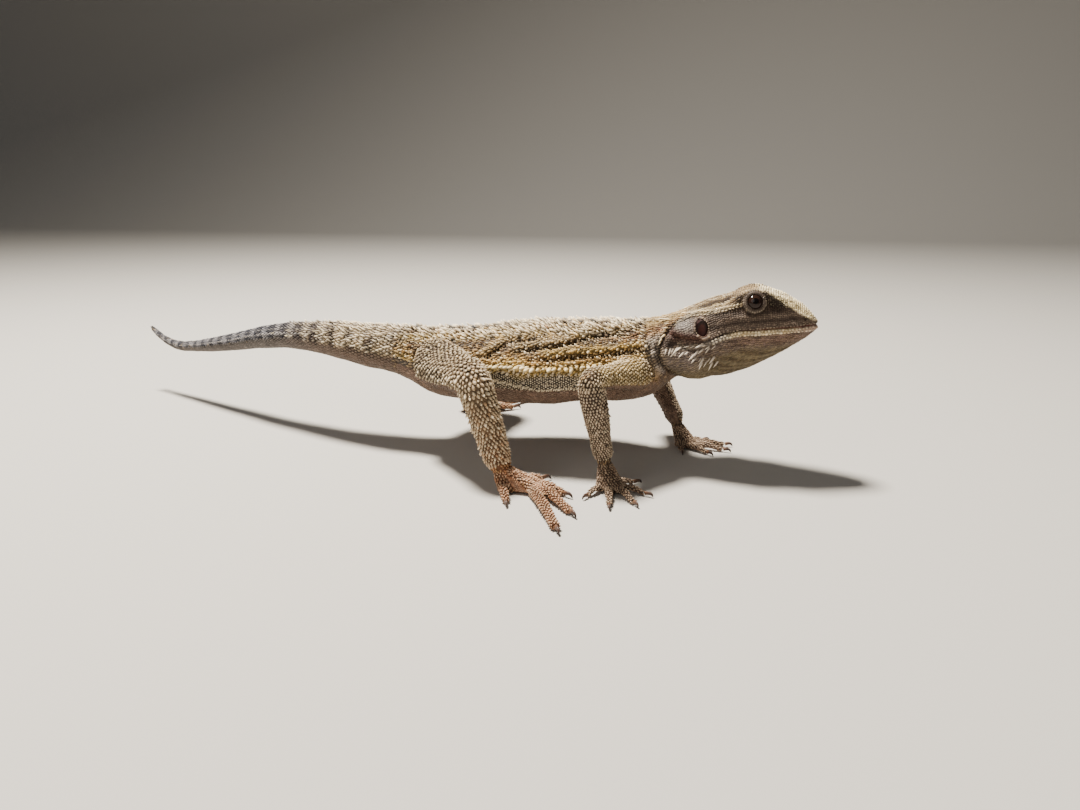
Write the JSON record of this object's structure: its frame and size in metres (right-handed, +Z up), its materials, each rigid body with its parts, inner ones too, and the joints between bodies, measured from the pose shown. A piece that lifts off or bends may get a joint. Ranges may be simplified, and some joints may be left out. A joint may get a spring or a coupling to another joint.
{
  "type": "bearded dragon",
  "caption": "Life-size still model of a young bearded dragon lizard standing on spread legs, head raised, mouth closed and tail held clear of the ground.",
  "frame": {"origin": "centre of the animal's box, on the plane that its feet stand on", "axes": "+X towards the head, -Y the animal's right side, +Z up"},
  "size_m": [0.2852, 0.1498, 0.0605],
  "materials": {
    "skin_sand": "dry sandy scales with brown and cream markings",
    "skin_head": "small dry keeled scales, cream above and grey-brown on the cheek",
    "skin_beard": "grey-olive throat with pale spines",
    "skin_leg": "keeled scales, rusty brown with cream tips towards the toes",
    "skin_tail": "keeled scales in pale and slate-grey bands",
    "eye": "wet, very dark brown",
    "ear_drum": "thin dark red membrane",
    "claw": "smooth dark horn"
  },
  "bodies": {
    "root": {"head": "skin_head", "lower_jaw": "skin_beard", "neck": "skin_beard", "trunk": "skin_sand", "tail_1": "skin_tail", "tail_2": "skin_tail", "tail_3": "skin_tail", "tail_4": "skin_tail", "upper_arm_R": "skin_sand", "forearm_R": "skin_leg", "hand_R": "skin_leg", "thigh_R": "skin_sand", "shank_R": "skin_leg", "foot_R": "skin_leg", "eye_R": "eye", "ear_R": "ear_drum", "claw_finger_R_1": "claw", "claw_toe_R_1": "claw", "claw_finger_R_2": "claw", "claw_toe_R_2": "claw", "claw_finger_R_3": "claw", "claw_toe_R_3": "claw", "claw_finger_R_4": "claw", "claw_toe_R_4": "claw", "claw_finger_R_5": "claw", "claw_toe_R_5": "claw", "upper_arm_L": "skin_sand", "forearm_L": "skin_leg", "hand_L": "skin_leg", "thigh_L": "skin_sand", "shank_L": "skin_leg", "foot_L": "skin_leg", "eye_L": "eye", "ear_L": "ear_drum", "claw_finger_L_1": "claw", "claw_toe_L_1": "claw", "claw_finger_L_2": "claw", "claw_toe_L_2": "claw", "claw_finger_L_3": "claw", "claw_toe_L_3": "claw", "claw_finger_L_4": "claw", "claw_toe_L_4": "claw", "claw_finger_L_5": "claw", "claw_toe_L_5": "claw"}
  },
  "joints": []
}
